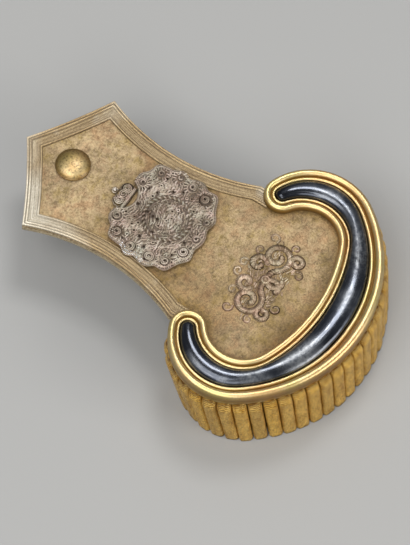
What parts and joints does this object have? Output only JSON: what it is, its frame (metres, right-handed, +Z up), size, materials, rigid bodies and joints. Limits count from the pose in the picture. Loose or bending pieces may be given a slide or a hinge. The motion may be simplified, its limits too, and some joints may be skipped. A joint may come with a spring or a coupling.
{
  "type": "epaulette",
  "caption": "Dress epaulette: a waisted strap with a pointed end, lace border, button and round badge, and a gilt crescent with a dark steel inlay over a stiff bullion fringe.",
  "frame": {"origin": "on the ground under the middle of the epaulette's outline", "axes": "+Z up from the fringe's foot to the strap's face, +Y along the strap towards its pointed tip, +X across it"},
  "size_m": [0.1254, 0.181, 0.0421],
  "materials": {
    "board_cloth": "matt woven cloth over stiff board",
    "gold_cloth": "fine worn metal-thread cloth",
    "lace": "ribbed tarnished metal lace",
    "gilt_brass": "polished gilding, worn in the hollows",
    "blued_steel": "polished blued steel with fine scratches",
    "bullion": "matt coiled metal bullion",
    "button_gilt": "worn gilding",
    "silver_purl": "tarnished silver purl embroidery",
    "dark_purl": "dark tarnished purl embroidery",
    "plain_brass": "plain dull brass"
  },
  "bodies": {
    "root": {"strap_board": "board_cloth", "strap_cloth": "gold_cloth", "edge_lace": "lace", "crescent_frame": "gilt_brass", "crescent_skirt": "gilt_brass", "crescent_inlay": "blued_steel", "fringe": "bullion", "button": "button_gilt", "badge": "silver_purl", "badge_crown": "silver_purl", "scroll_ornament": "dark_purl", "fastening_tongue": "plain_brass"}
  },
  "joints": []
}
